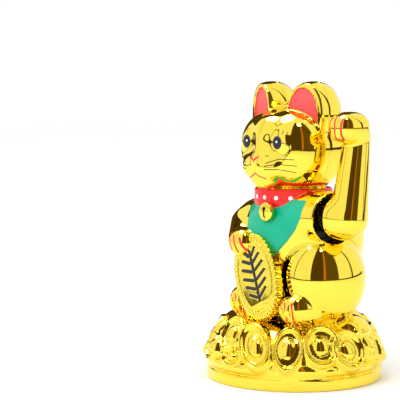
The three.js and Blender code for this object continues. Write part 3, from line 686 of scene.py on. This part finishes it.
def catMaterial():
    shader = Shader("paintedGold")
    x, y, z = shader.axes()
    ax = abs(x)
    faceOnly = (y < -4.0) * (z > 88.0) * (z < 118.0)
    footOnly = (y < -17.0) * (z < 42.0)
    handOnly = (y < -18.0) * (z > 55.0) * (z < 68.0) * (x < -4.0)

    black = (strokes(ax, z, whiskers + lashes) < 0.0) * faceOnly
    lips = (strokes(ax, z, mouth + nose) < 0.0) * faceOnly
    claws = ((strokes(x, z, footClaws) < 0.0) * footOnly).most((strokes(x, z, handClaws) < 0.0) * handOnly)

    ex, ez = (ax - eye["x"]) / eye["halfWidth"], (z - eye["z"]) / eye["halfHeight"]
    ring = (ex * ex + ez * ez).math("SQRT")
    pupil = (ring < 1.0) * faceOnly
    glintX, glintZ = ax - (eye["x"] + eye["glintRight"]), z - (eye["z"] + eye["glintUp"])
    glint = ((glintX * glintX + glintZ * glintZ) < eye["glintSize"]) * faceOnly

    bibShare = shader.attribute("bibMargin") < 0.0
    collarShare = shader.attribute("collarMargin") < 0.28
    earShare = shader.attribute("earMargin") < 0.2
    pocketShadeShare = shader.attribute("pocketMargin") < 0.3

    turned = x.math("ARCTAN2", (y - collar["centreY"]) * -1.0) * (180 / math.pi)
    dotted = None
    for angle in collarDots["angles"]:
        across = (turned - angle) * (collar["radius"] * math.pi / 180)
        rise = z - collarMiddle
        here = (across * across + rise * rise) < collarDots["size"]
        dotted = here if dotted is None else dotted.most(here)

    base = goldBase(shader)
    weaveAndShadeMottle = shader.noise(900.0, 4.0)
    bibTint = shader.mixed(shader.noise(60.0, 2.0), paint["bib"], paint["bibDark"])
    base = shader.mixed(bibShare, base, bibTint)
    redTint = shader.mixed(weaveAndShadeMottle, paint["collar"], paint["collarWeave"])
    base = shader.mixed(collarShare, base, redTint)
    base = shader.mixed(collarShare * dotted, base, paint["white"])
    fade = ((z - 112.0) * (1 / 16)).clamped()
    base = shader.mixed(earShare, base, shader.mixed(fade, paint["earBase"], paint["ear"]))
    # painted shade: the arm's pocket is coloured near black, mottled by noise, and counted as painted below
    base = shader.mixed(pocketShadeShare, base, shader.mixed(weaveAndShadeMottle, paint["pocket"], paint["pocketShadeMottle"]))
    base = shader.mixed(pupil, base, shader.mixed((ring - 0.72) * 4.0, paint["slate"], paint["slateEdge"]))
    base = shader.mixed(glint, base, paint["glint"])
    base = shader.mixed(lips, base, paint["lip"])
    base = shader.mixed(claws, base, paint["claw"])
    base = shader.mixed(black, base, paint["ink"])

    painted = bibShare
    for share in (pocketShadeShare, collarShare, earShare, pupil, lips, claws, black):
        painted = painted.most(share)
    skin = shader.noise(1500.0, 2.0) * painted * 0.02
    wave = shader.noise(plating["waveScale"], 2.0, 0.4)
    normal = shader.bump(wave + skin, plating["wave"], 0.001)
    return shader.set(Base_Color=base, Metallic=1.0 - painted, Roughness=paintedRough(shader, painted),
                      Normal=normal, Coat_Weight=bibShare * 0.12, Coat_Roughness=0.2, Specular_IOR_Level=0.3)


# the two shells, cut from one form along the seam

shells = {"low": (-43, -43, -1.6), "high": (47, 43, 138), "pitch": 0.8, "quickPitch": 1.1}


def buildShells():
    points, faces = gridMesh(catDistance, shells)
    print("cat meshed:", len(points), "vertices")
    material = catMaterial()
    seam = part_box("front_shell")[1].y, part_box("rear_shell")[0].y
    for name, node, place, normal in (("frontShell", "front_shell", seam[0], (0, 1, 0)),
                                      ("rearShell", "rear_shell", seam[1], (0, -1, 0))):
        obj = makeObject(name, points, faces)
        splitAt(obj, (0, place, 0), normal)
        splitAt(obj, (0, 0, 0), (0, 0, -1))
        smoothNormals(obj, catDistance)
        spots = vertexPlaces(obj)
        bibEdge = np.maximum(bibMargin(spots), np.abs(evaluate(spots, torsoForm[:bibSteps])) - 0.5)
        paintMargin(obj, "bibMargin", np.maximum(bibEdge, spots[:, 2] - bib["top"]))
        radial = np.hypot(spots[:, 0], spots[:, 1] - collar["centreY"])
        paintMargin(obj, "collarMargin", np.maximum(collarForm()[0](spots), collar["radius"] - 1.5 - radial))
        ears = np.minimum(earFace(-1)[0](spots), earFace(1)[0](spots))
        paintMargin(obj, "earMargin", np.maximum(np.abs(ears), 0.5 - evaluate(spots, headForm[:1])))
        # the margin of the painted shade inside the arm's pocket
        pocket = np.maximum(np.abs(socketForm(0, 0)[0](spots)), spots[:, 0] - socket["edgeX"] + 0.8)
        paintMargin(obj, "pocketMargin", np.maximum(pocket, socket["floorX"] - 0.2 - spots[:, 0]))
        finishPiece(obj, "housing", material, [node])


buildShells()
print("shells built")

# the raised arm, hollow, with a disc that sits in the pocket and a hub for the axle

arm = {"elbow": (38, -3.5, 75.2), "wrist": (38, 1.6, 111), "elbowRadius": 8.6, "wristRadius": 5.8,
       "bulge": ((33.4, -3, 75.4), (8, 10.8, 9.4)), "paw": ((38, -3.4, 115.4), (7.5, 9.2, 7.0)), "wall": 1.3,
       "innerWallX": 31.3, "low": (21, -16, 65), "high": (49, 11, 125), "pitch": 0.55, "quickPitch": 0.9}
armClaws = [((34.6, 110.6), (34.4, 119.4), 0.45), ((38.0, 110.2), (38.0, 119.8), 0.45),
            ((41.4, 110.6), (41.6, 119.4), 0.45)]


def armSteps(inset):
    centre, radii = arm["paw"]
    steps = [
        ("add", limb(arm["elbow"], arm["wrist"], arm["elbowRadius"] - inset, arm["wristRadius"] - inset), 0),
        ("add", blob(centre, [r - inset for r in radii], 2.4), 2.2),
    ]
    centre, radii = arm["bulge"]
    steps.append(("add", blob(centre, [r - inset for r in radii], 2.2), 3))
    if inset == 0:
        for (x0, z0), (x1, z1), _ in armClaws:
            steps.append(("cut", limb((x0, -13.2, z0), (x1, -13.0, z1), 0.75, 0.75), 0.8))
        steps.append(("add", drum((27.5, pivotY, pivotZ), 7.8, 4.2, axis=0, edge=0.5), 1.0))
    return steps


armOutside, armInside = armSteps(0), armSteps(arm["wall"])
armBore = drum((20, pivotY, pivotZ), 1.6, 16.4, axis=0, edge=0.05)
armHub = drum((30, pivotY, pivotZ), 4.0, 7.0, axis=0, edge=0.1)


def armDistance(p):
    room = np.maximum(evaluate(p, armInside), arm["innerWallX"] - p[:, 0])
    shell = np.minimum(np.maximum(evaluate(p, armOutside), -room), armHub[0](p))
    return np.maximum(shell, -armBore[0](p))


def armMaterial():
    shader = Shader("armGold")
    x, y, z = shader.axes()
    claws = (strokes(x, z, armClaws) < 0.0) * (y < -8.0)
    base = shader.mixed(claws, goldBase(shader), paint["claw"])
    return shader.set(Base_Color=base, Metallic=1.0 - claws, Roughness=paintedRough(shader, claws),
                      Normal=goldBump(shader))


def buildArm():
    points, faces = gridMesh(armDistance, arm)
    material = armMaterial()
    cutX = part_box("arm_inner_half")[1].x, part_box("arm_outer_half")[0].x
    for name, node, place, normal in (("armInnerHalf", "arm_inner_half", cutX[0], (1, 0, 0)),
                                      ("armOuterHalf", "arm_outer_half", cutX[1], (-1, 0, 0))):
        obj = makeObject(name, points, faces)
        splitAt(obj, (place, 0, 0), normal)
        smoothNormals(obj, armDistance)
        finishPiece(obj, "arm", material, [node])


buildArm()
print("arm built")

# the koban coin that the cat holds

koban = {"centre": (1.0, -24.0, 47.8), "halfWidth": 13.2, "halfLength": 19.8, "thickness": 2.6, "tilt": 26.0,
         "lean": 7.0, "power": 2.25, "notches": 46, "notchDepth": 0.22, "beads": 40, "beadHeight": 0.42,
         "markHeight": 0.55, "low": (-17, -31, 26), "high": (19, -16, 70), "pitch": 0.32, "quickPitch": 0.6}
kobanAxes = np.array(Matrix.Rotation(math.radians(-koban["lean"]), 3, "X")
                     @ Matrix.Rotation(math.radians(-koban["tilt"]), 3, "Y"), np.float32)
# a sprig of leaves: stem and leaf strokes in the coin's own plane, width across and height up
sprig = [((0, -11.5), (0, 12.6), 0.62)]
for height, reach in ((-9.4, 5.2), (-5.4, 6.4), (-1.4, 7.0), (2.8, 6.6), (6.8, 5.4), (10.2, 3.6)):
    for side in (-1, 1):
        sprig.append(((side * 1.3, height), (side * reach, height + 2.5), 0.74))


def sprigMargin(a, b):
    best = np.full(len(a), 9.0)
    for start, end, half in sprig:
        best = np.minimum(best, lineDistance(a, b, start, end) - half)
    return best


def kobanLocal(p):
    return (p - np.array(koban["centre"], np.float32)) @ kobanAxes


def kobanDistance(p):
    q = kobanLocal(p)
    a, depth, b = q[:, 0], -q[:, 1], q[:, 2]
    around = np.arctan2(a / koban["halfWidth"], b / koban["halfLength"])
    power = koban["power"]
    ring = (np.abs(a / koban["halfWidth"]) ** power + np.abs(b / koban["halfLength"]) ** power) ** (1 / power)
    edge = (ring - 1) * 14 + koban["notchDepth"] * np.cos(koban["notches"] * around)
    beadRow = np.exp(-((ring - 0.89) / 0.035) ** 2)
    bead = koban["beadHeight"] * beadRow * (0.55 + 0.45 * np.cos(koban["beads"] * around))
    inner = 0.38 * np.exp(-((ring - 0.79) / 0.02) ** 2)
    marks = koban["markHeight"] * smoothStep(-sprigMargin(a, b), -0.25, 0.2)
    ribs = 0.16 * np.cos(b * 3.6) * smoothStep(-b, 12.2, 13.0) * (ring < 0.76)
    top = koban["thickness"] / 2 + bead + inner + marks + ribs
    flat = np.maximum(depth - top, -depth - koban["thickness"] / 2 - 1.5) * 0.8
    return -softMin(-flat, -edge, 0.5)


def kobanMaterial():
    shader = Shader("kobanGold")
    ink = shader.attribute("inkMargin") < 0.0
    base = shader.mixed(ink, goldBase(shader), paint["ink"])
    rough = goldRough(shader) + 0.03
    roughness = rough + ink * (shader.noise(500.0, 3.0) * 0.1 + 0.25 - rough)
    return shader.set(Base_Color=base, Metallic=1.0 - ink, Roughness=roughness, Normal=goldBump(shader))


def buildKoban():
    points, faces = gridMesh(kobanDistance, koban)
    obj = makeObject("koban", points, faces)
    smoothNormals(obj, kobanDistance)
    q = kobanLocal(vertexPlaces(obj))
    margin = sprigMargin(q[:, 0], q[:, 2]) - 0.05
    paintMargin(obj, "inkMargin", np.where(-q[:, 1] > koban["thickness"] / 2 - 0.3, margin, 9))
    finishPiece(obj, "housing", kobanMaterial())


buildKoban()
print("koban built")

# the bell under the collar

bell = {"centre": (3.0, -19.6, 77.2), "radius": 4.0, "depth": 2.4, "slot": 0.55, "slotEnd": 1.4, "hole": 0.95,
        "low": (-3.0, -24.1, 71.2), "high": (9.0, -15.1, 83.2), "pitch": 0.22, "quickPitch": 0.4}


def bellDistance(p):
    q = p - np.array(bell["centre"], np.float32)
    radial = np.hypot(q[:, 0], q[:, 2])
    body = blob((0, 0, 0), (bell["radius"], bell["depth"], bell["radius"]), 2.3)[0](q)
    rim = np.hypot(radial - bell["radius"] + 0.6, q[:, 1] + 1.0) - 0.85
    slot = np.maximum(np.abs(q[:, 0] + 0.2) - bell["slot"], q[:, 2] - bell["slotEnd"])
    eyeHole = np.hypot(q[:, 0] + 0.2, q[:, 2] - bell["slotEnd"]) - bell["hole"]
    notch = np.maximum(np.minimum(slot, eyeHole), -(q[:, 1] + 4.0))
    return softMin(-softMin(-body, notch, 0.3), rim, 0.4)


def buildBell():
    points, faces = gridMesh(bellDistance, bell)
    obj = makeObject("bell", points, faces)
    smoothNormals(obj, bellDistance)
    shader = Shader("bellGold")
    dark = shader.noise(300.0, 2.0)
    base = shader.mixed((dark - 0.4) * 0.4, paint["gold"], paint["deepGold"])
    material = shader.set(Base_Color=base, Metallic=1.0, Roughness=goldRough(shader), Normal=goldBump(shader))
    finishPiece(obj, "housing", material)


buildBell()
print("bell built")

# finishes of the inner parts: colour, second colour, metal share, roughness, grain scale, bump
finishes = {
    "base_plastic": ((0.66, 0.40, 0.02), (0.58, 0.34, 0.02), 0.0, 0.38, 1400, 0.12),
    "cell_wrap": ((0.03, 0.09, 0.30), (0.02, 0.06, 0.22), 0.0, 0.25, 300, 0.03),
    "spring_steel": ((0.62, 0.62, 0.63), (0.5, 0.5, 0.52), 1.0, 0.25, 1800, 0.06),
    "contact_steel": ((0.64, 0.63, 0.60), (0.52, 0.51, 0.49), 1.0, 0.32, 1500, 0.08),
    "red_insulation": ((0.50, 0.015, 0.012), (0.40, 0.01, 0.01), 0.0, 0.45, 900, 0.10),
    "black_insulation": ((0.012, 0.012, 0.013), (0.02, 0.02, 0.02), 0.0, 0.48, 900, 0.10),
    "tower_plastic": ((0.02, 0.02, 0.022), (0.03, 0.03, 0.032), 0.0, 0.55, 1200, 0.20),
    "nylon": ((0.78, 0.75, 0.66), (0.70, 0.66, 0.56), 0.0, 0.45, 800, 0.10),
    "board_laminate": ((0.02, 0.16, 0.05), (0.015, 0.11, 0.035), 0.0, 0.4, 2200, 0.15),
    "copper_wire": ((0.78, 0.30, 0.12), (0.50, 0.16, 0.06), 1.0, 0.3, 3000, 0.40),
    "black_resin": ((0.015, 0.015, 0.016), (0.025, 0.025, 0.025), 0.0, 0.6, 1600, 0.20),
    "axle_steel": ((0.66, 0.66, 0.67), (0.55, 0.55, 0.57), 1.0, 0.2, 2000, 0.05),
    "magnet": ((0.12, 0.12, 0.125), (0.09, 0.09, 0.095), 0.6, 0.5, 1500, 0.20),
    "screw_steel": ((0.62, 0.61, 0.58), (0.5, 0.5, 0.48), 1.0, 0.3, 1700, 0.08),
}


def finishFor(slot):
    first, second, metal, rough, scale, bump = finishes[slot]
    shader = Shader(slot)
    cloudy = shader.noise(180.0, 3.0)
    grain = shader.noise(float(scale), 3.0)
    base = shader.mixed(cloudy, first, second)
    if slot == "cell_wrap":  # bare metal at both ends
        x = shader.axes()[0]
        base = shader.mixed(abs(x) > 19.0, base, (0.75, 0.72, 0.62))
    if slot == "copper_wire":  # turns of fine wire; the colour darkens where the turns meet, as painted shade, and is lighter on each crest
        turns = (shader.axes()[2] * 9.0).math("SINE") * 0.5 + 0.5
        base = shader.mixed(turns, second, first)
        grain = grain * 0.2 + turns
    roughness = cloudy * 0.12 + (rough - 0.06)
    return shader.set(Base_Color=base, Metallic=metal, Roughness=roughness,
                      Normal=shader.bump(grain, bump, 0.0004))


ready = {}
for row in frame["record"]["subparts"]:
    slot, node = row["material_slot"], frame["nodes"][row["node"]]
    if slot in finishes:
        ready[slot] = ready.get(slot) or finishFor(slot)
        node.data.materials.clear()
        node.data.materials.append(ready[slot])
print("inner parts finished")

# studio: pale floor, white surroundings, dark panels that only the plating sees, and one soft lamp
# the camera, in degrees and metres: aside turns it away from the cat's middle
view = {"azimuth": 47.0, "distance": 0.701, "height": 0.1379, "pitch": 4.63, "aside": 3.565, "lens": 137.7}
# a patch of a sphere round the cat: azimuths from the camera's side, elevations, radius, colour, strength
panels = {
    "darkPanelLeft": ((-24, 13), (1.5, 78), 2.2, (0.085, 0.05, 0.003), 1.0),
    "darkPanelRight": ((19, 52), (1.5, 76), 2.2, (0.12, 0.075, 0.004), 1.0),
    "glowStrip": ((13, 19), (1.5, 70), 2.2, (1.0, 0.36, 0.02), 0.55),
    "darkPanelBack": ((165, 215), (2, 60), 2.2, (0.085, 0.05, 0.003), 1.0),
    "horizonLine": ((-150, 130), (0.3, 2.2), 2.25, (0.05, 0.03, 0.0), 1.0),
    "archLeft": ((-146, -142), (0.3, 72), 2.1, (0.05, 0.03, 0.0), 1.0),
    "archMiddle": ((-84, -81), (0.3, 72), 2.1, (0.07, 0.04, 0.0), 1.0),
    "archRight": ((88, 92), (0.3, 72), 2.1, (0.05, 0.03, 0.0), 1.0),
    "softBox": ((-165, -80), (62, 82), 1.9, (1, 1, 1), 16.0),
    "softBoxFront": ((0, 24), (67, 76), 1.9, (1, 1, 1), 16.0),
}
studio = {"floorSize": 3.0, "floorPale": (0.96, 0.96, 0.955), "floorDull": (0.93, 0.93, 0.93), "sky": 1.05,
          "lampEnergy": 6.0, "lampSize": 0.8, "lampPlace": (0.1, -0.7, 1.1), "lampAim": (0, 0, 0.06)}


def spherePatch(name, azimuths, elevations, radius, colour, strength):
    columns, rows = 40, 24
    places, faces = [], []
    for j in range(rows + 1):
        for i in range(columns + 1):
            elevation = math.radians(elevations[0] + (elevations[1] - elevations[0]) * j / rows)
            azimuth = math.radians(view["azimuth"] + azimuths[0] + (azimuths[1] - azimuths[0]) * i / columns)
            places.append((radius * math.cos(elevation) * math.sin(azimuth),
                           -radius * math.cos(elevation) * math.cos(azimuth), radius * math.sin(elevation)))
    for j in range(rows):
        for i in range(columns):
            corner = j * (columns + 1) + i
            faces.append((corner, corner + 1, corner + columns + 2, corner + columns + 1))
    mesh = bpy.data.meshes.new(name)
    mesh.from_pydata(places, [], faces)
    obj = bpy.data.objects.new(name, mesh)
    bpy.context.scene.collection.objects.link(obj)
    mesh.materials.append(Shader(name).glow(colour, strength))
    obj.visible_camera = obj.visible_diffuse = obj.visible_shadow = False


def buildFloor():
    size = studio["floorSize"]
    mesh = bpy.data.meshes.new("floor")
    corners = [(-size, -size, 0), (size, -size, 0), (size, size, 0), (-size, size, 0)]
    mesh.from_pydata(corners, [], [(0, 1, 2, 3)])
    floor = bpy.data.objects.new("floor", mesh)
    bpy.context.scene.collection.objects.link(floor)
    shader = Shader("paleFloor")
    tone = shader.mixed(shader.noise(3.0), studio["floorDull"], studio["floorPale"])
    mesh.materials.append(shader.set(Base_Color=tone, Roughness=0.6, Specular_IOR_Level=0.0))


def buildStudio():
    for name, row in panels.items():
        spherePatch(name, *row)
    buildFloor()

    world = bpy.data.worlds.new("whiteRoom")
    world.use_nodes = True
    sky = world.node_tree.nodes["Background"]
    sky.inputs["Color"].default_value = (1, 1, 1, 1)
    sky.inputs["Strength"].default_value = studio["sky"]
    bpy.context.scene.world = world

    lampData = bpy.data.lights.new("softLamp", "AREA")
    lampData.energy, lampData.size = studio["lampEnergy"], studio["lampSize"]
    lamp = bpy.data.objects.new("softLamp", lampData)
    lamp.location = studio["lampPlace"]
    lamp.rotation_euler = (Vector(studio["lampAim"]) - lamp.location).to_track_quat("-Z", "Y").to_euler()
    lamp.visible_glossy = False
    bpy.context.scene.collection.objects.link(lamp)


def buildCamera():
    turn = math.radians(view["azimuth"])
    towards = Vector((-math.sin(turn), math.cos(turn), 0))
    right = Vector((math.cos(turn), math.sin(turn), 0))
    aside, pitch = math.radians(view["aside"]), math.radians(view["pitch"])
    level = towards * math.cos(aside) - right * math.sin(aside)
    aim = level * math.cos(pitch) - Vector((0, 0, math.sin(pitch)))
    side = aim.cross(Vector((0, 0, 1))).normalized()
    up = side.cross(aim)
    data = bpy.data.cameras.new("camera")
    data.lens, data.sensor_width = view["lens"], 36.0
    camera = bpy.data.objects.new("camera", data)
    place = -towards * view["distance"] + Vector((0, 0, view["height"]))
    camera.matrix_world = Matrix.Translation(place) @ Matrix((side, up, -aim)).transposed().to_4x4()
    bpy.context.scene.collection.objects.link(camera)
    bpy.context.scene.camera = camera


buildStudio()
buildCamera()
bpy.context.scene.view_settings.view_transform = "Standard"
print("studio built")
